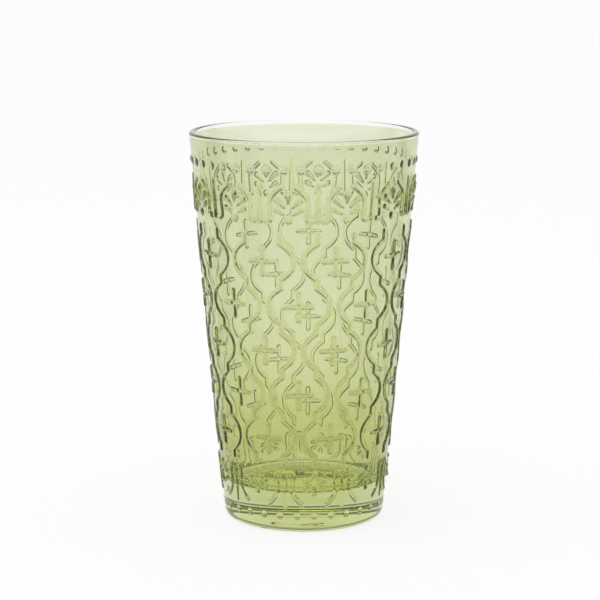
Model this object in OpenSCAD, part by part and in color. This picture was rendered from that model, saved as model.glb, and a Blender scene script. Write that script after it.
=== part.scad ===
// Highball glass: a pressed tapered tumbler with a thick base, a band of raised ornament at the
// top and bottom, an ogee trellis between them, and a green colour film on the inside.
// Sizes are in millimetres. The glass stands on z = 0, on the z axis, and its front looks along -y.

/* [Vessel] */
// Height from the table to the top of the lip
glass_h = 144; // [130:1:165]
// Outside diameter that the wall's taper reaches at the lip
mouth_d = 84; // [78:0.5:92]
// Outside diameter that the wall's taper reaches at the table
foot_d = 58.7; // [54:0.1:66]
// Thickness of the wall at the lip, measured level
wall_top_t = 1.9; // [1.6:0.1:2.2]
// Thickness of the wall at the floor, measured level
wall_floor_t = 2.9; // [2.4:0.1:4]
// Thickness of the rounded lip
lip_t = 2.3; // [2.2:0.1:2.8]
// Width of the flat on top of the lip
lip_flat = 0.3; // [0.2:0.1:0.8]
// Height over which the wall thickens to the lip
lip_flank_h = 1.2; // [0.8:0.1:3]
// Thickness of the solid base, from the table to the floor
base_t = 14.5; // [11:0.5:18]
// Radius between the floor and the inner wall
floor_r = 6.5; // [5:0.5:8]
// Radius of the heel, between the outer wall and the table
heel_r = 3.5; // [2:0.5:4]
// Diameter of the hollow under the base
hollow_d = 44; // [36:0.5:46]
// Depth of the hollow under the base
hollow_h = 1.2; // [0.6:0.1:2]

/* [Colour film] */
// Thickness of the film on the inside
film_t = 0.2; // [0.1:0.05:0.3]
// Distance from the lip's flank down to the film's edge
film_drop = 0; // [0:0.5:6]

/* [Bead rows] */
// Number of beads under the lip
rim_bead_count = 42; // [30:1:48]
// Diameter of a bead under the lip
rim_bead_d = 2.8; // [2:0.1:3.2]
// Height of a bead under the lip, over the wall
rim_bead_h = 0.6; // [0.4:0.05:0.9]
// Distance from the top of the lip down to the row of beads
rim_bead_drop = 10; // [8:0.5:11]
// Number of dots above the heel
foot_dot_count = 30; // [24:1:36]
// Diameter of a dot above the heel
foot_dot_d = 2.2; // [1.6:0.1:2.6]
// Height of a dot above the heel, over the wall
foot_dot_h = 0.4; // [0.3:0.05:0.7]
// Distance from the table up to the row of dots
foot_dot_rise = 6.6; // [5.5:0.1:7.5]

/* [Friezes] */
// Number of tulips, and of palmettes, in the upper frieze
upper_motifs = 12; // [9:1:13]
// Number of tulips, and of palmettes, in the lower frieze
lower_motifs = 9; // [7:1:10]
// Distance from the top of the lip down to the upper frieze
frieze_drop = 14.5; // [13.5:0.5:16]
// Distance from the table up to the lower frieze
frieze_rise = 9.6; // [9:0.2:11]
// Height of each frieze
frieze_h = 14.3; // [13:0.1:15.5]
// Half the width across a tulip's open end, at the upper frieze
flare_half_w = 7.9; // [7:0.1:8.4]
// Half the width across a tulip's waist, at the upper frieze
waist_half_w = 3.6; // [3.3:0.1:4]
// Width of a tulip's raised lines at the hook
tulip_line_w = 1.9; // [1.4:0.1:2.1]
// Width of a tulip's raised lines at the open end, as a share of that at the hook
tulip_line_thin = 0.7; // [0.5:0.05:1]
// Radius of the round end of a tulip's bar
bar_r = 1.05; // [0.7:0.05:1.15]
// Height of a tulip's raised lines, over the wall
tulip_line_h = 0.75; // [0.5:0.05:1]
// Length of a palmette's middle petal
petal_l = 4.3; // [3.6:0.1:4.8]
// Radius of the round end of a palmette's petal
petal_r = 1; // [0.7:0.05:1.1]
// Diameter of the bead beside a palmette
palmette_bead_d = 2.6; // [1.8:0.1:2.8]
// Height of the bead beside a palmette, over the wall
palmette_bead_h = 0.75; // [0.5:0.05:1]
// Size of the lower palmettes, as a share of the upper ones
lower_share = 0.8; // [0.7:0.05:0.9]

/* [Trellis] */
// Number of raised lines round the trellis, an even number
trellis_lines = 18; // [14:2:18]
// Number of rows of ogees
trellis_rows = 5; // [4:1:5]
// Clear height between the trellis and the upper frieze
upper_gap = 3.4; // [2:0.2:5]
// Clear height between the trellis and the lower frieze
lower_gap = 2.3; // [2:0.1:4]
// Height of the straight neck above the first row of ogees
first_neck_h = 3.85; // [2:0.05:5]
// Height of the straight neck between two ogees
neck_h = 3.05; // [2:0.05:4]
// How far a line swings out, as a share of half the distance to the next line
swing_share = 0.74; // [0.6:0.02:0.78]
// How much fuller than a plain wave an ogee's side is
ogee_fullness = 0.05; // [0:0.01:0.1]
// Width of a trellis line
trellis_line_w = 1.65; // [1.2:0.05:1.9]
// Height of a trellis line, over the wall
trellis_line_h = 0.6; // [0.4:0.05:0.8]

/* [Crosses] */
// Height of the four-petal cross in each ogee
cross_h = 11.2; // [9:0.1:11.6]
// Width of the four-petal cross in each ogee
cross_w = 10.6; // [8:0.1:10.8]
// Radius of the round end of a cross's petal
cross_petal_r = 0.95; // [0.6:0.05:1.05]
// Distance from the middle of a cross to the start of each petal
cross_gap = 0.5; // [0.4:0.1:1]

/* [Hidden] */
$fn = 96;
// How far the flat back of an ornament is let into the curved wall
bite = 0.05;
// Angles of the wall's outside and inside against the z axis
taper = atan((mouth_d - foot_d) / 2 / glass_h);
inner_taper = atan((inner_r(glass_h) - inner_r(base_t)) / (glass_h - base_t));
// Radius of the lip's edges, and the heights where they and the flanks below them start
roll_r = (lip_t - lip_flat) / 2;
lip_z = glass_h - roll_r;
flank_z = lip_z - lip_flank_h;
// Heights between which the ornaments lie
upper_top = glass_h - frieze_drop;
upper_bottom = upper_top - frieze_h;
lower_bottom = frieze_rise;
lower_top = lower_bottom + frieze_h;
trellis_top = upper_bottom - upper_gap;
trellis_bottom = lower_top + lower_gap;
// Height of one ogee, and from one row to the next
ogee_h = (trellis_top - trellis_bottom - first_neck_h - trellis_rows * neck_h) / trellis_rows;
row_pitch = ogee_h + neck_h;
// Angle from one trellis line to the next, and the angle that a line swings
line_pitch = 360 / trellis_lines;
swing = swing_share * line_pitch / 2;
// Steps round one edge of the lip, along one ogee and along one part of a tulip's side
lip_steps = 5;
ogee_steps = 8;
side_steps = 5;
// Half of a tulip's widths as angles, so that both friezes share them
flare_angle = flare_half_w / outer_r(upper_top) * 180 / PI;
waist_angle = waist_half_w / outer_r(upper_top) * 180 / PI;

// Radius of the outer wall at a height
function outer_r(z) = foot_d / 2 + (mouth_d - foot_d) / 2 * z / glass_h;

// Level thickness of the wall at a height
function wall_t(z) = wall_floor_t + (wall_top_t - wall_floor_t) * (z - base_t) / (glass_h - base_t);

// Radius of the inner wall at a height
function inner_r(z) = outer_r(z) - wall_t(z);

// Point on the outer wall at an angle from the front and a height
function wall_point(p) = [outer_r(p[1]) * sin(p[0]), -outer_r(p[1]) * cos(p[0]), p[1]];

// Direction straight out of the wall at an angle from the front
function wall_out(a) = [cos(taper) * sin(a), -cos(taper) * cos(a), -sin(taper)];

// Angle that a level distance on the wall takes up at a height
function arc_angle(x, z) = x / outer_r(z) * 180 / PI;

// Length brought to one
function unit(v) = v / norm(v);

// One point of a cubic curve through two ends with two handles
function cubic(a, b, c, d, t) =
    pow(1 - t, 3) * a + 3 * pow(1 - t, 2) * t * b + 3 * (1 - t) * t * t * c + pow(t, 3) * d;

// One cross-section of a raised line: four points, two on the wall and two on the crest. The line
// starts at a share of its width and widens to all of it at the path's other end.
function line_section(path, k, w, h, thin) =
    let (
        last = len(path) - 1,
        share = ((k == 0 || k == last) ? 0.5 : 1) * (thin + (1 - thin) * k / last),
        here = wall_point(path[k]),
        out = wall_out(path[k][0]),
        along = unit(wall_point(path[min(k + 1, last)]) - wall_point(path[max(k - 1, 0)])),
        side = unit(cross(out, along)) * w * share / 2,
        foot = here - out * bite,
        crest = here + out * h * share
    )
    [foot - side, crest - side * 0.55, crest + side * 0.55, foot + side];

// Height of the middle of a row of ogees, counted from the top
function row_z(row) = trellis_top - first_neck_h - ogee_h / 2 - (row - 1) * row_pitch;

// The middle line of one trellis line, from the top down, as angles and heights
function trellis_path(i) = concat(
    [[i * line_pitch, trellis_top], [i * line_pitch, trellis_top - trellis_line_w / 3]],
    [for (row = [1 : trellis_rows])
        for (k = [0 : ogee_steps])
            let (
                turn = 90 - 180 * k / ogee_steps,
                bow = (1 + ogee_fullness) * cos(turn) - ogee_fullness * cos(3 * turn),
                hand = (i + row) % 2 == 0 ? 1 : -1
            )
            [i * line_pitch + hand * swing * bow, row_z(row) + ogee_h / 2 * turn / 90]],
    [[i * line_pitch, trellis_bottom + trellis_line_w / 3], [i * line_pitch, trellis_bottom]]
);

// The middle line of a tulip's side, from the open end to the hook. y runs from 0 at the hook to 1
// at the open end, and x is in degrees from the tulip's bar.
function tulip_side() =
    let (
        open_end = [flare_angle, 0.89],
        waist = [waist_angle, 0.47],
        belly = [waist_angle * 1.1, 0.19],
        hook = [waist_angle * 0.68, 0.06],
        steps = [for (k = [1 : side_steps]) k / side_steps]
    )
    concat(
        [open_end + [0.4, 0.012]],
        [open_end],
        [for (t = steps) cubic(open_end, open_end - [3.6, 0.13], waist + [0, 0.18], waist, t)],
        [for (t = steps) cubic(waist, waist - [0, 0.1], belly + [0, 0.1], belly, t)],
        [for (t = steps) cubic(belly, belly - [0, 0.1], hook + [1.5, 0.005], hook, t)],
        [hook - [0.4, 0]]
    );

// A raised line along a path on the wall
module raised_line(path, w, h, thin = 1) {
    last = len(path) - 1;
    points = [for (k = [0 : last]) each line_section(path, k, w, h, thin)];
    sides = [for (k = [0 : last - 1])
                for (j = [0 : 3])
                    let (
                        here = 4 * k + j,
                        beside = 4 * k + (j + 1) % 4
                    )
                    each [[here, beside, beside + 4], [here, beside + 4, here + 4]]];
    end = 4 * last;
    ends = [[0, 3, 2], [0, 2, 1], [end, end + 1, end + 2], [end, end + 2, end + 3]];
    polyhedron(points = points, faces = concat(sides, ends), convexity = 8);
}

// Sets an ornament on the wall, with its x axis level, y up the wall and z straight out
module on_wall(a, z) {
    rotate([0, 0, a])
        translate([0, -outer_r(z), z])
            rotate([90 + taper, 0, 0])
                translate([0, 0, -bite])
                    children();
}

// A round bead with a flat back
module bead(d, h) {
    ball_r = (d * d / 4 + h * h) / (2 * h);
    rotate_extrude()
        intersection() {
            translate([0, h - ball_r]) circle(ball_r);
            square([d, h]);
        }
}

// Half the outline of a drop along y: a narrow round end at the origin and a wide one at the top
module drop_outline(length, wide_r, narrow_r) {
    lean = asin((wide_r - narrow_r) / (length - wide_r - narrow_r));
    wide_y = length - wide_r;
    intersection() {
        union() {
            translate([0, narrow_r]) circle(narrow_r);
            translate([0, wide_y]) circle(wide_r);
            polygon([
                [0, narrow_r],
                [narrow_r * cos(lean), narrow_r - narrow_r * sin(lean)],
                [wide_r * cos(lean), wide_y - wide_r * sin(lean)],
                [0, wide_y]
            ]);
        }
        square([wide_r * 2, length]);
    }
}

// A half-round petal with a flat back, along y from its narrow end
module petal(length, wide_r, narrow_r) {
    rotate([90, 0, 0])
        rotate_extrude(angle = 180)
            mirror([0, 1])
                drop_outline(length, wide_r, narrow_r);
}

// A petal that starts beside a point of the wall and leans from the vertical
module wall_petal(a, z, x, y, lean, length, wide_r, narrow_share = 0.42) {
    mid_z = z + y + length / 2 * cos(lean);
    mid_x = x + length / 2 * sin(lean);
    on_wall(a + arc_angle(mid_x, mid_z), mid_z)
        rotate([0, 0, -lean])
            translate([0, -length / 2, 0])
                petal(length, wide_r, wide_r * narrow_share);
}

// One palmette, upright (way = 1) or hanging (way = -1): five petals and a bead about one point.
// Its places are shares of the middle petal's length.
module palmette(a, z, way, share) {
    l = petal_l * share;
    r = petal_r * share;
    on_wall(a, z - 0.58 * l * way) bead(palmette_bead_d * share, palmette_bead_h * share);
    wall_petal(a, z, 0, 0.79 * l * way, way > 0 ? 0 : 180, l, r * 1.2);
    for (hand = [-1, 1]) {
        wall_petal(a, z, hand * 0.22 * l, 0.44 * l * way, hand * (way > 0 ? 48 : 132), l * 1.2, r);
        wall_petal(a, z, hand * 0.29 * l, -0.09 * l * way, hand * (way > 0 ? 62 : 118), l, r * 0.9);
    }
}

// One tulip between two heights: a bar and two curved sides, opening towards the second height
module tulip(a, hook_z, open_z) {
    way = open_z > hook_z ? 1 : -1;
    side = tulip_side();
    for (hand = [-1, 1])
        raised_line([for (p = side) [a + hand * p[0], hook_z + (open_z - hook_z) * p[1]]],
                    tulip_line_w, tulip_line_h, tulip_line_thin);
    wall_petal(a, open_z, 0, 0, way > 0 ? 180 : 0, abs(open_z - hook_z), bar_r);
}

// The pressed vessel's drinking space, moved in by the thickness of a lining and open above the lip
module cavity_outline(lining) {
    open_z = glass_h + lip_t;
    corner_z = base_t + floor_r;
    corner_x = inner_r(corner_z) - floor_r / cos(inner_taper);
    corner_r = floor_r - lining;
    translate([corner_x, corner_z]) circle(corner_r);
    polygon([
        [0, base_t + lining],
        [corner_x, base_t + lining],
        [corner_x + corner_r * cos(inner_taper), corner_z - corner_r * sin(inner_taper)],
        [inner_r(open_z) - lining / cos(inner_taper), open_z],
        [0, open_z]
    ]);
}

// Base, wall and lip, pressed in one piece
module glass_body() {
    heel_x = outer_r(heel_r) - heel_r / cos(taper);
    lip_x = (outer_r(lip_z) + inner_r(lip_z)) / 2;
    hollow_r = (hollow_d * hollow_d / 4 + hollow_h * hollow_h) / (2 * hollow_h);
    color([0.86, 0.89, 0.80])
        rotate_extrude() {
            difference() {
                union() {
                    translate([heel_x, heel_r]) circle(heel_r);
                    polygon([
                        [0, 0],
                        [heel_x, 0],
                        [heel_x + heel_r * cos(taper), heel_r - heel_r * sin(taper)],
                        [outer_r(lip_z), lip_z],
                        [0, lip_z]
                    ]);
                }
                cavity_outline(0);
                translate([0, hollow_h - hollow_r]) circle(hollow_r);
            }
            polygon(concat(
                [[inner_r(flank_z), flank_z], [outer_r(flank_z), flank_z]],
                [for (k = [0 : lip_steps])
                    let (turn = 90 * k / lip_steps)
                    [lip_x + lip_flat / 2 + roll_r * cos(turn), lip_z + roll_r * sin(turn)]],
                [for (k = [lip_steps : -1 : 0])
                    let (turn = 90 * k / lip_steps)
                    [lip_x - lip_flat / 2 - roll_r * cos(turn), lip_z + roll_r * sin(turn)]]
            ));
        }
}

// Green film on the inner wall and the floor
module colour_film() {
    color([0.66, 0.72, 0.30])
        rotate_extrude()
            intersection() {
                difference() {
                    cavity_outline(0);
                    cavity_outline(film_t);
                }
                square([mouth_d, flank_z - film_drop]);
            }
}

// Row of beads under the lip
module rim_beads() {
    color([0.80, 0.84, 0.68])
        for (i = [0 : rim_bead_count - 1])
            on_wall(i * 360 / rim_bead_count, glass_h - rim_bead_drop) bead(rim_bead_d, rim_bead_h);
}

// Tulips of the upper frieze, open upward
module upper_tulips() {
    color([0.78, 0.82, 0.62])
        for (i = [0 : upper_motifs - 1])
            tulip(i * 360 / upper_motifs, upper_bottom, upper_top);
}

// Palmettes of the upper frieze, upright between the tulips
module upper_palmettes() {
    color([0.74, 0.80, 0.56])
        for (i = [0 : upper_motifs - 1])
            palmette((i + 0.5) * 360 / upper_motifs, upper_bottom + frieze_h * 0.25, 1, 1);
}

// Trellis of lines that swing apart and together
module ogee_trellis() {
    color([0.76, 0.80, 0.58])
        for (i = [0 : trellis_lines - 1])
            raised_line(trellis_path(i), trellis_line_w, trellis_line_h);
}

// A four-petal cross in every ogee
module trellis_crosses() {
    color([0.72, 0.78, 0.52])
        for (row = [1 : trellis_rows])
            for (i = [0 : trellis_lines / 2 - 1])
                for (arm = [0 : 3]) {
                    a = line_pitch * (2 * i + (row % 2 == 0 ? -0.5 : 0.5));
                    reach = arm % 2 == 0 ? cross_h / 2 : cross_w / 2;
                    lean = arm * 90;
                    wall_petal(a, row_z(row), cross_gap * sin(lean), cross_gap * cos(lean), lean,
                               reach - cross_gap, cross_petal_r, 0.5);
                }
}

// Tulips of the lower frieze, open downward
module lower_tulips() {
    color([0.78, 0.82, 0.62])
        for (i = [0 : lower_motifs - 1])
            tulip((i + 0.5) * 360 / lower_motifs, lower_top, lower_bottom);
}

// Palmettes of the lower frieze, hanging between the tulips
module lower_palmettes() {
    color([0.74, 0.80, 0.56])
        for (i = [0 : lower_motifs - 1])
            palmette(i * 360 / lower_motifs, lower_top - frieze_h * 0.23, -1, lower_share);
}

// Row of dots above the heel
module foot_dots() {
    color([0.80, 0.84, 0.68])
        for (i = [0 : foot_dot_count - 1])
            on_wall(i * 360 / foot_dot_count, foot_dot_rise) bead(foot_dot_d, foot_dot_h);
}

glass_body();
colour_film();
rim_beads();
upper_tulips();
upper_palmettes();
ogee_trellis();
trellis_crosses();
lower_tulips();
lower_palmettes();
foot_dots();
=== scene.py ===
# %% [markdown]
# This lesson dresses a green pressed-glass highball tumbler. The solids come from a CAD model as a
# fixed frame, and every piece made here sits on that frame, in metres. Pressed glass is one lump of
# glass, so the looks depend on one unbroken surface that light can bend through: separate solids
# that touch would show a false seam wherever a petal meets the wall.

# %% Load the frame
import math

import bpy
import numpy as np
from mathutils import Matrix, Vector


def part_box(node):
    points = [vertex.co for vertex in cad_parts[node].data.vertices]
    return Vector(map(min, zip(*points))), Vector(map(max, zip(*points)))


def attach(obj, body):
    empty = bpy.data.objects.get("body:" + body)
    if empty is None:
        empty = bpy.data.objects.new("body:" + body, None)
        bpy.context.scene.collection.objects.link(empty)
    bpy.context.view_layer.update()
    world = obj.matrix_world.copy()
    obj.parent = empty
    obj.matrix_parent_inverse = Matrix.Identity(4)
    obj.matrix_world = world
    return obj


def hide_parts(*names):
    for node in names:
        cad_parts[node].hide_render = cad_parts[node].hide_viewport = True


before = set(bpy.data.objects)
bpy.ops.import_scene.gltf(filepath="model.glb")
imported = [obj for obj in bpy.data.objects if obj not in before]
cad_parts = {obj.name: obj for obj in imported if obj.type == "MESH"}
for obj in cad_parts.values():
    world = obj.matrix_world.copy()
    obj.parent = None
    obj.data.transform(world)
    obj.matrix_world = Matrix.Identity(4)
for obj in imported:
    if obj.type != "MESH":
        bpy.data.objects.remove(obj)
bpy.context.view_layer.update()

# %% [markdown]
# The drawing is in millimetres, as a glassmaker would write it, and is turned into metres only when
# a mesh is made. Heights that the CAD solids already fix are read from their boxes. The wall is a
# straight cone outside and one that opens a little faster inside, so that the plunger can be drawn
# out: the glass is thin at the lip and thick at the floor.

# %% Sizes of the vessel
MM = 0.001
glass_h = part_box("glass_body")[1][2] / MM
floor_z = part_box("colour_film")[0][2] / MM
# Top of the film, where the flank of the wall ends and the lip begins
flank_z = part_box("colour_film")[1][2] / MM
mouth_r = 42.0
foot_r = 29.35
wall_top_t = 1.9
wall_floor_t = 2.9
taper = math.atan((mouth_r - foot_r) / glass_h)


def outer_r(z):
    """Radius of the plain outer wall at a height."""
    return foot_r + (mouth_r - foot_r) * z / glass_h


def inner_r(z):
    """Radius of the inner wall at a height."""
    share = (z - floor_z) / (glass_h - floor_z)
    return outer_r(z) - wall_floor_t - (wall_top_t - wall_floor_t) * share


inner_taper = math.atan((inner_r(glass_h) - inner_r(floor_z)) / (glass_h - floor_z))
print(f"glass {glass_h:.1f} mm tall, floor at {floor_z:.1f}, film up to {flank_z:.1f}")

# %% [markdown]
# A tumbler is a turned shape, so its section is drawn once as a line from the middle of the
# underside, round the heel, up the wall, over the lip and down inside to the middle of the floor.
# A lathe (Screw) modifier could turn it, but the relief needs its own rows and columns, so the grid
# is made with arrays. Round stretches are arcs with a fixed number of steps.

# %% Section of the glass
heel_r = 3.5
hollow_r = 22.0
hollow_h = 1.2
# Distance of the row that keeps the edge between the hollow and the flat foot ring crisp
ring_edge = 0.6
lip_t = 2.3
lip_flat = 0.3
corner_r = 6.5
film_t = 0.2
row_step = 0.25
hollow_steps, heel_steps, lip_steps = 10, 14, 10
floor_steps, corner_steps, inside_steps = 8, 12, 40


def arc(middle, radius, start, end, steps):
    """Points on a round stretch, from one angle in degrees to another."""
    turn = np.radians(np.linspace(start, end, steps + 1))
    return np.stack([middle[0] + radius * np.cos(turn), middle[1] + radius * np.sin(turn)], 1)


def cavity_section(lining, top_z, steps):
    """The inside from near the middle of the floor up to a height, moved in by a lining."""
    corner_z = floor_z + corner_r
    corner_x = inner_r(corner_z) - corner_r / math.cos(inner_taper)
    floor_x = np.linspace(0.0, corner_x, floor_steps + 1)[1:-1]
    floor_line = np.stack([floor_x, np.full_like(floor_x, floor_z + lining)], 1)
    corner_end = -math.degrees(inner_taper)
    corner = arc((corner_x, corner_z), corner_r - lining, -90, corner_end, corner_steps)
    rise = np.linspace(corner[-1, 1], top_z, steps + 1)[1:]
    wall_line = np.stack([inner_r(rise) - lining / math.cos(inner_taper), rise], 1)
    return np.concatenate([floor_line, corner, wall_line])


def underside_section():
    """From near the middle of the underside to the start of the outer wall."""
    ball_r = (hollow_r**2 + hollow_h**2) / (2 * hollow_h)
    hollow_x = np.linspace(0.0, hollow_r, hollow_steps + 1)[1:]
    hollow = np.stack([hollow_x, np.sqrt(ball_r**2 - hollow_x**2) - ball_r + hollow_h], 1)
    heel_x = outer_r(heel_r) - heel_r / math.cos(taper)
    heel = arc((heel_x, heel_r), heel_r, -90, -math.degrees(taper), heel_steps)
    return np.concatenate([hollow, [(hollow_r + ring_edge, 0.0)], heel])


def lip_section():
    """From the outer wall over the lip to the film's top on the inner wall."""
    roll_r = (lip_t - lip_flat) / 2
    lip_z = glass_h - roll_r
    lip_x = (outer_r(lip_z) + inner_r(lip_z)) / 2
    outside = arc((lip_x + lip_flat / 2, lip_z), roll_r, 0, 90, lip_steps)
    inside = arc((lip_x - lip_flat / 2, lip_z), roll_r, 90, 180, lip_steps)
    return np.concatenate([outside, inside, [(inner_r(flank_z) - film_t, flank_z)]])


underside = underside_section()
heel_z = underside[-1, 1]
wall_z = np.linspace(heel_z, flank_z, round((flank_z - heel_z) / row_step) + 1)[1:]
lip = lip_section()
inside = cavity_section(film_t, flank_z, inside_steps)[::-1][1:]
print(f"section rows: underside {len(underside)}, wall {len(wall_z)}, lip {len(lip)}, inside {len(inside)}")

# %% [markdown]
# The ornament is cut into the mould, so on the glass it stands proud. Petals could be modelled one
# by one and joined to the wall by Booleans, but those leave ragged faces. Here the ornament is a
# height map: for every point of the wall's grid, how far the glass stands out. Displacing a grid
# keeps the surface whole, and a formula per motif keeps edges clean at any resolution. Motifs repeat
# round the glass, so a point's angle is folded back to the nearest one, and only one of each is drawn.

# %% Helpers for relief
columns = 1080
angles = np.arange(columns) * 360.0 / columns
grid_angle, grid_z = np.meshgrid(angles, wall_z)
relief = np.zeros_like(grid_angle)
# Power in a ridge's section: the higher, the broader its back and the steeper its flanks
flank_power = 4


def degree_mm(z):
    """Length of one degree round the wall at a height."""
    return np.radians(1.0) * outer_r(z)


grid_mm = degree_mm(grid_z)


def fold(pitch, first=0.0):
    """Angle of every grid point from the nearest of the motifs that stand one pitch apart."""
    return (grid_angle - first + pitch / 2) % pitch - pitch / 2


def dome(share):
    """Half-round crest: 1 in the middle, 0 at the edge."""
    return np.sqrt(np.clip(1.0 - share**2, 0.0, None))


def cushion(share):
    """Ridge with a broad back and steep flanks: 1 along the middle, 0 at the edge."""
    return np.clip(1.0 - share**flank_power, 0.0, None)


def press(height):
    """Adds a motif: where two meet, the higher one shows."""
    np.maximum(relief, height, out=relief)


def petal(x, y, start, end, start_r, end_r, height):
    """Drop between the middles of its two round ends, as high as given at its larger end."""
    along_x, along_y = end[0] - start[0], end[1] - start[1]
    share = ((x - start[0]) * along_x + (y - start[1]) * along_y) / (along_x**2 + along_y**2)
    share = np.clip(share, 0.0, 1.0)
    radius = start_r + (end_r - start_r) * share
    gap = np.hypot(x - start[0] - along_x * share, y - start[1] - along_y * share)
    return height * radius / max(start_r, end_r) * cushion(gap / radius)


print(f"relief grid: {len(wall_z)} rows by {columns} columns")

# %% [markdown]
# Beads and dots are sunk into the mould with a round-ended tool, so each is a flattened half ball.
# Spheres could be set round the glass, but as part of the height map a bead is only a formula of the
# distance from its middle. The row under the lip is bolder than the dots above the heel.

# %% Bead rows
rim_bead_count, rim_bead_d, rim_bead_h = 42, 2.8, 0.5
foot_dot_count, foot_dot_d, foot_dot_h = 30, 2.2, 0.2


def middle_z(node):
    """Height of the middle of a CAD node, in millimetres."""
    low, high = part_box(node)
    return (low[2] + high[2]) / 2 / MM


def bead_row(count, z, diameter, height):
    """A row of beads round the glass, one of them at the front."""
    gap = np.hypot(fold(360.0 / count) * grid_mm, grid_z - z)
    press(height * dome(gap / (diameter / 2)))


bead_row(rim_bead_count, middle_z("rim_beads"), rim_bead_d, rim_bead_h)
bead_row(foot_dot_count, middle_z("foot_dots"), foot_dot_d, foot_dot_h)
print("beads at", round(middle_z("rim_beads"), 2), "dots at", round(middle_z("foot_dots"), 2))

# %% [markdown]
# A tulip has a bar and two sides that bow like the letter S. The sides are cubic curves, which a
# Bezier curve object could hold too, but here only the distance from the curve is wanted: the
# closer a point lies to it, the higher the glass. A side is thin at its open end and widest at its
# hook, and the bar swells towards the hooks as well.

# %% Tulips
upper_bottom, upper_top = (corner[2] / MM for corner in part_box("upper_tulips"))
lower_bottom, lower_top = (corner[2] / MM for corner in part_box("lower_tulips"))
upper_pitch, lower_pitch = 30.0, 40.0
flare_w, waist_w = 7.9, 3.6
flare_angle = math.degrees(flare_w / outer_r(upper_top))
waist_angle = math.degrees(waist_w / outer_r(upper_top))
side_w, side_thin, side_h = 2.0, 0.7, 0.75
bar_r, bar_h = 1.15, 0.85
# Radius of a drop's thin end as a share of its thick end
thin_share = 0.42


def cubic(start, leave, arrive, end, steps):
    """Points along a cubic curve with two ends and two handles, without its first point."""
    t = np.linspace(0.0, 1.0, steps + 1)[1:, None]
    return (1 - t) ** 3 * start + 3 * (1 - t) ** 2 * t * leave + 3 * (1 - t) * t**2 * arrive + t**3 * end


def tulip_side():
    """Side of a tulip from its open end to its hook, as degrees from the bar and shares of height."""
    open_end = np.array([flare_angle, 0.89])
    waist = np.array([waist_angle, 0.47])
    belly = np.array([waist_angle * 1.1, 0.19])
    hook = np.array([waist_angle * 0.68, 0.06])
    flare_handle, hook_handle = np.array([3.6, 0.13]), np.array([1.5, 0.005])
    long_handle, short_handle = np.array([0.0, 0.18]), np.array([0.0, 0.1])
    long_steps, short_steps = 10, 6
    return np.concatenate([
        [open_end],
        cubic(open_end, open_end - flare_handle, waist + long_handle, waist, long_steps),
        cubic(waist, waist - short_handle, belly + short_handle, belly, short_steps),
        cubic(belly, belly - short_handle, hook + hook_handle, hook, short_steps),
    ])


def tulip_row(pitch, first, hook_z, open_z):
    """A row of tulips that open towards the second height."""
    off = np.abs(fold(pitch, first))
    path = tulip_side()
    widths = np.linspace(side_thin, 1.0, len(path))
    for near, far, near_w, far_w in zip(path[:-1], path[1:], widths[:-1], widths[1:]):
        near_z, far_z = (hook_z + (open_z - hook_z) * point[1] for point in (near, far))
        mm = degree_mm((near_z + far_z) / 2)
        ends = (near[0] * mm, near_z), (far[0] * mm, far_z)
        press(petal(off * mm, grid_z, *ends, near_w * side_w / 2, far_w * side_w / 2, side_h * far_w))
    way = 1.0 if open_z > hook_z else -1.0
    thin_r = bar_r * thin_share
    thin_end = (0.0, open_z - way * thin_r)
    thick_end = (0.0, hook_z + way * bar_r)
    press(petal(off * grid_mm, grid_z, thin_end, thick_end, thin_r, bar_r, bar_h))


tulip_row(upper_pitch, 0.0, upper_bottom, upper_top)
tulip_row(lower_pitch, lower_pitch / 2, lower_top, lower_bottom)
print("tulips", round(360 / upper_pitch), "above and", round(360 / lower_pitch), "below")

# %% [markdown]
# A palmette is a fan of five drops with a bead at its root. A drop is two circles, a small one and a
# large one, with straight sides between them, and it stands higher towards its large end. Scaled
# balls would come near it, but the drop's formula is already there, so the fan is only a short plan
# of roots, leans and lengths. The lower palmettes hang, and are four fifths as large.

# %% Palmettes
petal_r, petal_rise = 1.0, 0.9
palmette_bead_d, palmette_bead_h, palmette_bead_drop = 2.6, 0.65, 2.5
lower_share = 0.8
upper_focus, lower_focus = 0.25, 0.23
# Each drop: its root across and up from the focus, its lean in degrees, its length, its radius
top_drop = ((0.0, 3.4), 0.0, 4.3, petal_r * 1.2)
side_drops = [((0.95, 1.9), 48.0, 5.2, petal_r), ((1.25, -0.4), 62.0, 4.3, petal_r * 0.9)]


def fan_drop(x, y, root, lean, length, radius):
    """One drop of a fan: it starts at its root and leans from the vertical by some degrees."""
    lean = math.radians(lean)
    way = np.array([math.sin(lean), math.cos(lean)])
    thin_r = radius * thin_share
    start = np.array(root) + way * thin_r
    end = np.array(root) + way * (length - radius)
    press(petal(x, y, start, end, thin_r, radius, radius * petal_rise))


def palmette_row(pitch, first, focus_z, way, share):
    """A row of palmettes, upright (way = 1) or hanging (way = -1)."""
    x = fold(pitch, first) * grid_mm / share
    y = (grid_z - focus_z) * way / share
    bead_gap = np.hypot(x, y + palmette_bead_drop)
    press(palmette_bead_h * dome(bead_gap / (palmette_bead_d / 2)))
    fan_drop(x, y, *top_drop)
    for hand in (-1, 1):
        for root, lean, length, radius in side_drops:
            fan_drop(x, y, (hand * root[0], root[1]), hand * lean, length, radius)


frieze_h = upper_top - upper_bottom
palmette_row(upper_pitch, upper_pitch / 2, upper_bottom + frieze_h * upper_focus, 1, 1.0)
palmette_row(lower_pitch, 0.0, lower_top - frieze_h * lower_focus, -1, lower_share)
print("relief so far stands", round(relief.max(), 2), "mm proud")

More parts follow.
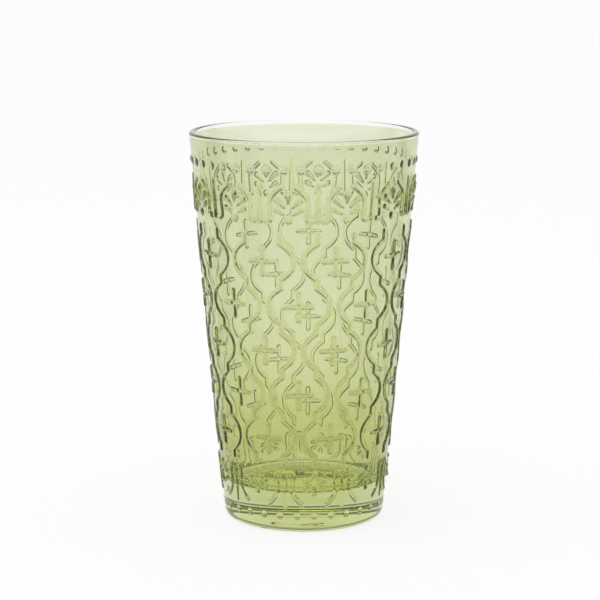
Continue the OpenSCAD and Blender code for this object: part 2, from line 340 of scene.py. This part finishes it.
# %% [markdown]
# The trellis is a set of upright lines. Each swings out like a cosine wave that is a little fuller
# than a plain one, comes back to a short neck, and swings the other way, while its neighbours do the
# opposite, so that the lines shut in ogees. Curve objects with a round bevel could draw them, but a
# wave is a formula, so the gap from it is worked out for all points at once: it is measured level and
# then cut by the slope. Two neighbours repeat round the glass, so the angle is folded at twice their
# distance.

# %% Trellis
trellis_bottom, trellis_top = (corner[2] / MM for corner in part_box("ogee_trellis"))
line_pitch, trellis_rows = 20.0, 5
neck_h, first_neck_h, swing = 3.05, 3.85, 7.4
line_w, line_h = 1.5, 0.6
ogee_fullness = 0.05
ogee_h = (trellis_top - trellis_bottom - first_neck_h - trellis_rows * neck_h) / trellis_rows
row_pitch = ogee_h + neck_h


def row_middle(row):
    """Height of the middle of a row of ogees, counted from 1 at the top."""
    return trellis_top - first_neck_h - ogee_h / 2 - (row - 1) * row_pitch


def wave_gap(off, hand, row):
    """Distance from a line within one row of ogees, and infinite above and below it."""
    mm = degree_mm(row_middle(row))
    sway = swing * mm
    wave = math.pi / ogee_h
    turn = (grid_z - row_middle(row)) * wave
    bow = sway * ((1 + ogee_fullness) * np.cos(turn) - ogee_fullness * np.cos(3 * turn))
    slope = sway * wave * (3 * ogee_fullness * np.sin(3 * turn) - (1 + ogee_fullness) * np.sin(turn))
    x = off * mm * hand * (1 if row % 2 == 0 else -1)
    return np.where(np.abs(turn) < math.pi / 2, np.abs(x - bow) / np.hypot(1.0, slope), np.inf)


def line_gap(off, hand):
    """Distance from a trellis line; off is the angle from its necks and hand the first swing's side."""
    gap = np.full_like(grid_angle, np.inf)
    for row in range(1, trellis_rows + 1):
        gap = np.minimum(gap, wave_gap(off, hand, row))
    for row in range(trellis_rows + 1):
        top = trellis_top - line_w / 2 if row == 0 else row_middle(row) - ogee_h / 2
        low = trellis_bottom + line_w / 2 if row == trellis_rows else row_middle(row + 1) + ogee_h / 2
        y = grid_z - np.clip(grid_z, low, top)
        gap = np.minimum(gap, np.hypot(off * grid_mm, y))
    return gap


nearest = np.minimum(line_gap(fold(2 * line_pitch), 1), line_gap(fold(2 * line_pitch, line_pitch), -1))
press(line_h * cushion(nearest / (line_w / 2)))
print(f"trellis rows {row_pitch:.2f} mm apart, ogees {ogee_h:.2f} mm tall")

# %% [markdown]
# Every ogee holds a cross. Its upright arms are nearly straight, and its level arms taper outwards.
# Four drops could be drawn, but across and up are taken without their signs, so that one upright and
# one level arm make all four. The rows stand half a pitch apart, like bricks.

# %% Crosses
cross_h, cross_w, cross_r = 11.2, 10.6, 0.95
cross_gap, cross_rise = 0.5, 0.8
root_r, tip_r = 0.8, 0.6
root = cross_gap + root_r
for row in range(1, trellis_rows + 1):
    first = line_pitch / 2 if row % 2 else -line_pitch / 2
    x = np.abs(fold(2 * line_pitch, first)) * grid_mm
    y = np.abs(grid_z - row_middle(row))
    press(petal(x, y, (0.0, root), (0.0, cross_h / 2 - cross_r), root_r, cross_r, cross_r * cross_rise))
    press(petal(x, y, (root, 0.0), (cross_w / 2 - tip_r, 0.0), root_r, tip_r, root_r * cross_rise))
print("crosses", trellis_rows * round(180 / line_pitch))

# %% [markdown]
# Fire-polishing softens every pressed edge, so the height map is blurred a little. A Smooth modifier
# on the finished mesh could do that, but it would wear down the lip and the heel too.

# %% Fire-polish the relief


def soften(field):
    """One small blur: each point is mixed with its neighbours up, down and round."""
    across = (np.roll(field, 1, 1) + 2 * field + np.roll(field, -1, 1)) / 4
    up = np.vstack([across[:1], across[:-1]])
    down = np.vstack([across[1:], across[-1:]])
    return (up + 2 * across + down) / 4


relief = soften(relief)
print("polished relief stands", round(relief.max(), 2), "mm proud")

# %% [markdown]
# A turned piece is a grid of rings that is closed by a fan of triangles at each end, where it meets
# the axis. Blender's from_pydata could make the mesh, but with this many faces the bulk calls
# (foreach_set) are far quicker. Glass needs a closed skin, or light that goes in never comes out.

# %% Turn sections into meshes


def ring_faces(rings, sides):
    """Corners of all faces, one after another, and each face's number of corners."""
    here = np.arange(rings * sides).reshape(rings, sides)
    right = np.roll(here, -1, 1)
    quads = np.stack([here[:-1], right[:-1], right[1:], here[1:]], 2).reshape(-1, 4)
    first = np.stack([np.full(sides, rings * sides), right[0], here[0]], 1)
    last = np.stack([np.full(sides, rings * sides + 1), here[-1], right[-1]], 1)
    corners = np.concatenate([quads.ravel(), first.ravel(), last.ravel()]).astype(np.int32)
    sizes = np.concatenate([np.full(len(quads), 4), np.full(2 * sides, 3)])
    return corners, sizes


def turned_mesh(name, radius, height, start_z, end_z):
    """Closed mesh from grids of radius and height, with a point on the axis at each end."""
    rings, sides = radius.shape
    turn = np.radians(np.arange(sides) * 360.0 / sides)
    around = np.stack([radius * np.sin(turn), -radius * np.cos(turn), height], 2).reshape(-1, 3)
    points = np.concatenate([around, [(0, 0, start_z), (0, 0, end_z)]]) * MM
    corners, sizes = ring_faces(rings, sides)
    starts = np.concatenate([[0], np.cumsum(sizes)[:-1]]).astype(np.int32)
    mesh = bpy.data.meshes.new(name)
    mesh.vertices.add(len(points))
    mesh.vertices.foreach_set("co", points.astype(np.float32).ravel())
    mesh.loops.add(len(corners))
    mesh.loops.foreach_set("vertex_index", corners)
    mesh.polygons.add(len(sizes))
    mesh.polygons.foreach_set("loop_start", starts)
    mesh.update(calc_edges=True)
    mesh.shade_smooth()
    piece = bpy.data.objects.new(name, mesh)
    bpy.context.scene.collection.objects.link(piece)
    return piece


ring_count = len(underside) + len(wall_z) + len(lip) + len(inside)
print("the glass takes", ring_count, "rings of", columns, "points")

# %% [markdown]
# The glass is one skin from the underside to the middle of the floor. Only its outer wall carries
# relief, which stands square to the tapered wall: mostly outwards and a little downwards. A Displace
# modifier could lift it from an image, but the heights are already at the grid's own points.

# %% Glass piece
plain = np.concatenate([underside, lip, inside])
plain_r = np.repeat(plain[:, :1], columns, 1)
plain_z = np.repeat(plain[:, 1:], columns, 1)
wall_out_r = outer_r(grid_z) + relief * math.cos(taper)
wall_out_z = grid_z - relief * math.sin(taper)
wall_start = len(underside)
glass = turned_mesh(
    "pressed_glass",
    np.concatenate([plain_r[:wall_start], wall_out_r, plain_r[wall_start:]]),
    np.concatenate([plain_z[:wall_start], wall_out_z, plain_z[wall_start:]]),
    hollow_h,
    floor_z + film_t,
)
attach(glass, "root")
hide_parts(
    "glass_body", "rim_beads", "upper_tulips", "upper_palmettes", "ogee_trellis",
    "trellis_crosses", "lower_tulips", "lower_palmettes", "foot_dots",
)
print("glass faces", len(glass.data.polygons))

# %% [markdown]
# Seen through the glass, a ridge looks a little yellower than the wall beside it, since light that has
# run along the wall through the colour comes out there. The glass there is clear, so the yellower tone
# is painted shade: a tint on the glass's own colour over the ridges. The material has to know where the
# ridges are. A painted mask could say so, but the height map says it better: its heights go on the mesh
# as an attribute, for both friezes and the trellis. The bead rows stay clear.

# %% Mask of the painted shade on the ridges
# Height of relief at which the mask of painted shade is full
shade_mask_full = 0.15
in_bands = (grid_z > lower_bottom) & (grid_z < upper_top)
wall_shade_mask = np.clip(relief / shade_mask_full, 0.0, 1.0) * in_bands
painted_shade_mask = np.zeros(len(glass.data.vertices), np.float32)
painted_shade_mask[wall_start * columns:(wall_start + len(wall_z)) * columns] = wall_shade_mask.ravel()
# The mesh attribute named ridge says where the glass's colour carries the painted shade
glass.data.attributes.new("ridge", "FLOAT", "POINT").data.foreach_set("value", painted_shade_mask)
print(f"ridges take up {wall_shade_mask.mean():.0%} of the wall's grid")

# %% [markdown]
# The colour is a film on the inside, bonded to the glass: light that is caught in the wall runs
# through it again and again, which is why ridges at the sides of the glass look so dark. It could be
# a tint of the glass itself, but the lip is clear and the colour changes with height. So the film is
# its own thin closed skin, a hair's breadth under the glass's inner surface.

# %% Film piece
film_cover = 0.03
film_columns, film_steps = 360, 60
# How far the film runs on into the lip
film_lap = 0.8
film_top = flank_z + film_lap
film_outer = cavity_section(0.0, film_top, film_steps)
film_inner = cavity_section(film_t - film_cover, film_top, film_steps)[::-1]
film_section = np.concatenate([film_outer, film_inner])
film = turned_mesh(
    "colour_film_skin",
    np.repeat(film_section[:, :1], film_columns, 1),
    np.repeat(film_section[:, 1:], film_columns, 1),
    floor_z,
    floor_z + film_t - film_cover,
)
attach(film, "root")
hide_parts("colour_film")
print("film faces", len(film.data.polygons))

# %% [markdown]
# Node trees could be wired by hand in the Shader Editor, but here they are written as sums. A small
# class wraps a socket, so that an expression such as 1 - mask adds the Math node it needs.

# %% Numbers in a node tree


class Value:
    """A number in a node tree. Arithmetic on it adds Math nodes."""

    def __init__(self, maker, socket):
        self.maker = maker
        self.socket = socket

    def _math(self, operation, first, second):
        node = self.maker.node("ShaderNodeMath", {"operation": operation}, {0: first, 1: second})
        return Value(self.maker, node.outputs[0])

    def __add__(self, other):
        return self._math("ADD", self, other)

    __radd__ = __add__

    def __mul__(self, other):
        return self._math("MULTIPLY", self, other)

    __rmul__ = __mul__

    def __sub__(self, other):
        return self._math("SUBTRACT", self, other)

    def __rsub__(self, other):
        return self._math("SUBTRACT", other, self)

    def at_most(self, other):
        """The smaller of the two."""
        return self._math("MINIMUM", self, other)

    def bearing(self, ahead):
        """Angle of the point that lies this far across and so far ahead, in radians."""
        return self._math("ARCTAN2", self, ahead)


print("sums in node trees are made by", Value.__name__)

# %% [markdown]
# Every node that isn't arithmetic comes from one method, which sets the node's choices first and then
# the values or links of its sockets. Three short forms stand on it: a number from a node's output, a
# mix of two colours, and the place of the shaded point.

# %% Maker of nodes


class Maker:
    """Adds nodes to one material's or world's tree."""

    def __init__(self, owner):
        owner.use_nodes = True
        self.tree = owner.node_tree
        self.tree.nodes.clear()

    def node(self, kind, settings=None, sockets=None):
        """A node of a type, with its settings first and then its sockets' values or links."""
        node = self.tree.nodes.new(kind)
        for name, setting in (settings or {}).items():
            if name == "stops":
                self._set_stops(node.color_ramp, setting)
            else:
                setattr(node, name, setting)
        for name, value in (sockets or {}).items():
            self._feed(node.inputs[name], value)
        return node

    def _set_stops(self, ramp, stops):
        while len(ramp.elements) < len(stops):
            ramp.elements.new(0.5)
        for element, (place, colour) in zip(ramp.elements, stops):
            element.position = place
            element.color = (*colour, 1.0)

    def _feed(self, socket, value):
        if isinstance(value, Value):
            value = value.socket
        if isinstance(value, bpy.types.NodeSocket):
            self.tree.links.new(value, socket)
        else:
            socket.default_value = value

    def value(self, node, output):
        """One output of a node as a number to calculate with."""
        return Value(self, node.outputs[output])

    def colour_mix(self, share, first, second, blend="MIX"):
        """Colour between two others or, with MULTIPLY, the first one tinted by the second."""
        settings = {"data_type": "RGBA", "blend_type": blend}
        return self.node("ShaderNodeMix", settings, {0: share, 6: first, 7: second}).outputs[2]

    def position(self):
        """Place of the shaded point, as a vector and as numbers along X, Y and Z."""
        place = self.node("ShaderNodeNewGeometry").outputs["Position"]
        parts = self.node("ShaderNodeSeparateXYZ", sockets={0: place})
        return place, [self.value(parts, axis) for axis in "XYZ"]


print("all other nodes are made by", Maker.__name__)

# %% [markdown]
# Soda-lime glass bends light by 1.5 and is faintly green in the lump, which shows in the thick base
# and hardly at all in the wall. A green surface colour would tint thin and thick glass alike, so
# Volume Absorption is used: the further light runs through the glass, the more it is tinted. Its
# colour is what the glass lets through. Only the ridges, by their mask, carry painted shade as a tint.

# %% Glass material
white = (1.0, 1.0, 1.0, 1.0)
# Painted shade: a yellow tint put on the clear glass's colour over the ridges
painted_ridge_shade = (0.90, 0.905, 0.60, 1.0)
lump_colour, lump_density = (0.612, 0.672, 0.08, 1.0), 25.0
glass_finish = bpy.data.materials.new("clear_pressed_glass")
make = Maker(glass_finish)
# Mask of the painted shade on the ridges, read from the ridge attribute
ridge_shade_mask = make.node("ShaderNodeAttribute", {"attribute_name": "ridge"})
body = make.node(
    "ShaderNodeBsdfPrincipled",
    sockets={
        "Base Color": make.colour_mix(ridge_shade_mask.outputs["Fac"], white, painted_ridge_shade),
        "Roughness": 0.0,
        "IOR": 1.5,
        "Transmission Weight": 1.0,
    },
)
lump = make.node("ShaderNodeVolumeAbsorption", sockets={"Color": lump_colour, "Density": lump_density})
make.node(
    "ShaderNodeOutputMaterial",
    sockets={"Surface": body.outputs[0], "Volume": lump.outputs[0]},
)
glass.data.materials.append(glass_finish)
print("glass material", glass_finish.name)

# %% [markdown]
# Colour that is sprayed in from the mouth runs down as it dries, so the film is paler towards the lip
# and deeper near the floor. A colour ramp over the height holds the tint that the skin leaves, and a
# soft noise makes it blotchy. The skin bends no light of its own, so its IOR is 1. Its volume tints
# light by the way it runs inside: little straight through, and a lot along the wall, which a surface
# colour alone couldn't do.

# %% Film material
# Tint by share of the glass's height; the floor itself is left to the volume
film_tints = [
    (0.102, (1.0, 1.0, 1.0)),
    (0.14, (0.815, 0.825, 0.62)),
    (0.22, (0.808, 0.815, 0.57)),
    (0.36, (0.895, 0.905, 0.80)),
    (0.56, (0.95, 0.955, 0.93)),
    (0.90, (0.952, 0.958, 0.967)),
    (0.98, (0.927, 0.936, 0.915)),
]
blotch_tint, blotch_scale = (0.92, 0.925, 0.80, 1.0), 45.0
depth_colour, depth_density = (0.634, 0.733, 0.087, 1.0), 1200.0
film_finish = bpy.data.materials.new("green_film")
make = Maker(film_finish)
place, (_, _, z) = make.position()
tint = make.node("ShaderNodeValToRGB", {"stops": film_tints}, {"Fac": z * (1 / (glass_h * MM))})
blotches = make.node(
    "ShaderNodeTexNoise",
    sockets={"Vector": place, "Scale": blotch_scale, "Detail": 1.0},
)
mottled = make.colour_mix(blotches.outputs["Fac"], tint.outputs["Color"], blotch_tint, "MULTIPLY")
skin = make.node(
    "ShaderNodeBsdfPrincipled",
    sockets={"Base Color": mottled, "Roughness": 0.0, "IOR": 1.0, "Transmission Weight": 1.0},
)
depth = make.node("ShaderNodeVolumeAbsorption", sockets={"Color": depth_colour, "Density": depth_density})
make.node(
    "ShaderNodeOutputMaterial",
    sockets={"Surface": skin.outputs[0], "Volume": depth.outputs[0]},
)
film.data.materials.append(film_finish)
print("film material", film_finish.name)

# %% [markdown]
# Clear glass is photographed in front of white, with dark panels to the left and right of the
# picture: the steep sides of the relief bend the view towards the panels and draw themselves as dark
# lines. Real panels could stand on the floor, but they would show in other views, so the pattern is
# only a colour by bearing, on a round screen and on the floor. White or pale gaps lie in front, at the
# back, to the sides and on the diagonals, so that the glass is lit from behind there as well. Close to
# the foot the floor has the tinge and the shade that the glass throws on it.

# %% Panels round the glass
# Grey by bearing in degrees: 0 is straight behind the glass, and the right is positive
panel_tones = [
    (-180, 1.0), (-129, 1.0), (-126, 0.6), (-123, 0.3), (-103, 0.3), (-101, 0.6), (-99, 0.85),
    (-84, 0.85), (-82, 0.5), (-80, 0.0), (-57, 0.0), (-54, 0.5), (-51, 1.0),
    (56, 1.0), (60, 0.5), (64, 0.0), (77, 0.0), (79, 0.5), (81, 0.85), (99, 0.85),
    (101, 0.6), (103, 0.3), (123, 0.3), (126, 0.6), (129, 1.0), (180, 1.0),
]
# Painted shadow and painted light from the glass on the floor round the foot, by distance from the glass's
# axis, in metres
shade_reach = 0.4
shade_tones = [
    (0.0, (0.9, 0.9, 0.65)), (0.020, (0.9, 0.9, 0.65)),
    (0.023, (0.75, 0.75, 0.48)), (0.033, (0.65, 0.65, 0.46)),
    (0.036, (0.87, 0.87, 0.85)), (0.12, (1.0, 1.0, 1.0)),
]
panel_fade = [(0.1, 0.0), (0.35, 1.0)]


def grey_stops(tones, start, end):
    """Stops of a colour ramp from pairs of a place, between a start and an end, and a grey tone."""
    return [((place - start) / (end - start), (tone, tone, tone)) for place, tone in tones]


def panel_pattern(make):
    """Colour of the panels at a point of the stage, by its bearing and its distance from the glass."""
    place, (x, y, _) = make.position()
    panels = make.node(
        "ShaderNodeValToRGB",
        {"stops": grey_stops(panel_tones, -180.0, 180.0)},
        {"Fac": x.bearing(y) * (0.5 / math.pi) + 0.5},
    )
    distance = make.node("ShaderNodeVectorMath", {"operation": "LENGTH"}, {0: place})
    reach = make.value(distance, "Value") * (1 / shade_reach)
    shade_stops = [(spot / shade_reach, colour) for spot, colour in shade_tones]
    shade = make.node("ShaderNodeValToRGB", {"stops": shade_stops}, {"Fac": reach})
    fade_stops = grey_stops(panel_fade, 0.0, shade_reach)
    fade = make.node("ShaderNodeValToRGB", {"stops": fade_stops}, {"Fac": reach})
    faded = make.colour_mix(fade.outputs["Color"], white, panels.outputs["Color"])
    return make.colour_mix(1.0, faded, shade.outputs["Color"], "MULTIPLY")


print("panel tones", len(panel_tones))

# %% [markdown]
# Floor and screen are the studio and not the glass, so they are not attached to its body. A curved
# backdrop could do for one view, but this object is looked at from all sides, so the screen is a full
# ring. It throws no shadow, and the camera doesn't see it.

# %% Floor and screen
floor_size = 12.0
screen_r, screen_h, screen_gap = 3.0, 1.4, 0.001
screen_steps = 120


def sheet_mesh(name, points, faces):
    """A plain mesh object from points and faces."""
    mesh = bpy.data.meshes.new(name)
    mesh.from_pydata(points, [], faces)
    mesh.update()
    piece = bpy.data.objects.new(name, mesh)
    bpy.context.scene.collection.objects.link(piece)
    return piece


half = floor_size / 2
floor = sheet_mesh(
    "studio_floor",
    [(-half, -half, 0), (half, -half, 0), (half, half, 0), (-half, half, 0)],
    [(0, 1, 2, 3)],
)
turns = np.radians(np.arange(screen_steps) * 360.0 / screen_steps)
foot = [(screen_r * math.cos(turn), screen_r * math.sin(turn), screen_gap) for turn in turns]
head = [(x, y, screen_h) for x, y, _ in foot]
nexts = [(here, (here + 1) % screen_steps) for here in range(screen_steps)]
screen = sheet_mesh(
    "panel_screen",
    foot + head,
    [(here, right, right + screen_steps, here + screen_steps) for here, right in nexts],
)
screen.visible_camera = False
screen.visible_diffuse = False
screen.visible_shadow = False
print("floor", floor_size, "m, screen", screen_r, "m")

# %% [markdown]
# Both are plain white to mirrored rays, and only light that has passed through the glass sees the
# pattern: a Mix Shader chooses by the kind of ray. One material for all rays would be simpler, but
# then the glass would mirror the dark panels and look dirty. On the screen a grey band above the floor
# draws the level edges of the relief, as the panels draw the upright ones. The floor is paper with a
# glow for the camera, so that it is nearly white and keeps the shadow.

# %% Finish of the stage
skyline = [(0.0, 0.95), (0.08, 0.9), (0.14, 0.25), (0.5, 0.25), (0.68, 1.0)]
paper_grey = (0.9, 0.9, 0.9, 1.0)
camera_glow = 0.85


def shine(make, colour):
    """Shader that shines in a colour with a strength of 1."""
    return make.node("ShaderNodeEmission", sockets={"Color": colour, "Strength": 1.0}).outputs[0]


def shader_mix(make, share, first, second):
    """Shader between two others."""
    return make.node("ShaderNodeMixShader", sockets={0: share, 1: first, 2: second}).outputs[0]


screen_finish = bpy.data.materials.new("panel_screen")
make = Maker(screen_finish)
_, (_, _, z) = make.position()
band_stops = grey_stops(skyline, 0.0, screen_h)
band = make.node("ShaderNodeValToRGB", {"stops": band_stops}, {"Fac": z * (1 / screen_h)})
panels = make.colour_mix(1.0, panel_pattern(make), band.outputs["Color"], "MULTIPLY")
ray = make.node("ShaderNodeLightPath").outputs
mixed = shader_mix(make, ray["Is Transmission Ray"], shine(make, white), shine(make, panels))
make.node("ShaderNodeOutputMaterial", sockets={"Surface": mixed})
screen.data.materials.append(screen_finish)

floor_finish = bpy.data.materials.new("pale_floor")
make = Maker(floor_finish)
path = make.node("ShaderNodeLightPath")
seen = make.value(path, "Is Camera Ray") * camera_glow + make.value(path, "Is Glossy Ray")
paper = make.node("ShaderNodeBsdfDiffuse", sockets={"Color": paper_grey}).outputs[0]
direct = shader_mix(make, seen.at_most(1.0), paper, shine(make, white))
through = shine(make, panel_pattern(make))
mixed = shader_mix(make, path.outputs["Is Transmission Ray"], direct, through)
make.node("ShaderNodeOutputMaterial", sockets={"Surface": mixed})
floor.data.materials.append(floor_finish)
print("stage materials", screen_finish.name, floor_finish.name)

# %% [markdown]
# A white tent lights the glass from all sides, and one soft box overhead, a little to the left, gives
# the floor its faint shadow. A picture of a studio could light it too, but a plain world has no shapes
# that would show in the glass. The camera sees the world at a strength of 1, which is white, and
# everything else a tenth less.

# %% World and lamp
sky_dim = 0.1
lamp_size, lamp_power = 1.2, 5.0
lamp_place, lamp_tilt = (-0.5, -0.2, 1.6), (-7, -17, 0)

world = bpy.data.worlds.new("white_studio")
bpy.context.scene.world = world
make = Maker(world)
camera_ray = make.value(make.node("ShaderNodeLightPath"), "Is Camera Ray")
strength = 1.0 - (1.0 - camera_ray) * sky_dim
sky = make.node("ShaderNodeBackground", sockets={"Color": white, "Strength": strength})
make.node("ShaderNodeOutputWorld", sockets={"Surface": sky.outputs[0]})

lamp_data = bpy.data.lights.new("soft_box", "AREA")
lamp_data.shape = "SQUARE"
lamp_data.size = lamp_size
lamp_data.energy = lamp_power
lamp = bpy.data.objects.new("soft_box", lamp_data)
lamp.location = lamp_place
lamp.rotation_euler = [math.radians(tilt) for tilt in lamp_tilt]
bpy.context.scene.collection.objects.link(lamp)
print("lamp", lamp_data.energy, "W")

# %% [markdown]
# The camera stands where the photographer stood, worked out from the ellipses of the mouth and the
# foot: a long lens from a little above the lip, turned a few degrees to the left of the front. It
# could be set by eye, but a tall glass shows every degree of pitch in the width of those ellipses.

# %% Camera
view_azimuth, camera_pitch = -7.05, 10.06
camera_distance, camera_height, camera_side = 0.8247, 0.2274, -0.00146
focal_px, image_px, sensor_mm = 2263.8, 600, 36.0

lens = bpy.data.cameras.new("photo_camera")
lens.sensor_width = sensor_mm
lens.lens = sensor_mm * focal_px / image_px
camera = bpy.data.objects.new("photo_camera", lens)
turn = math.radians(view_azimuth)
camera.location = (
    camera_distance * math.sin(turn) + camera_side * math.cos(turn),
    -camera_distance * math.cos(turn) + camera_side * math.sin(turn),
    camera_height,
)
camera.rotation_euler = (math.radians(90 - camera_pitch), 0.0, turn)
bpy.context.scene.collection.objects.link(camera)
bpy.context.scene.camera = camera
bpy.context.scene.view_settings.view_transform = "Standard"
print("camera", [round(c, 4) for c in camera.location], "lens", round(lens.lens, 2))

# %% [markdown]
# Light crosses the glass and the film many times, so a path may be long before it is cut off; with
# fewer bounces the sides of the glass would turn black.

# %% Light paths
bpy.context.scene.cycles.max_bounces = 32
bpy.context.scene.cycles.transmission_bounces = 32
bpy.context.scene.cycles.glossy_bounces = 16
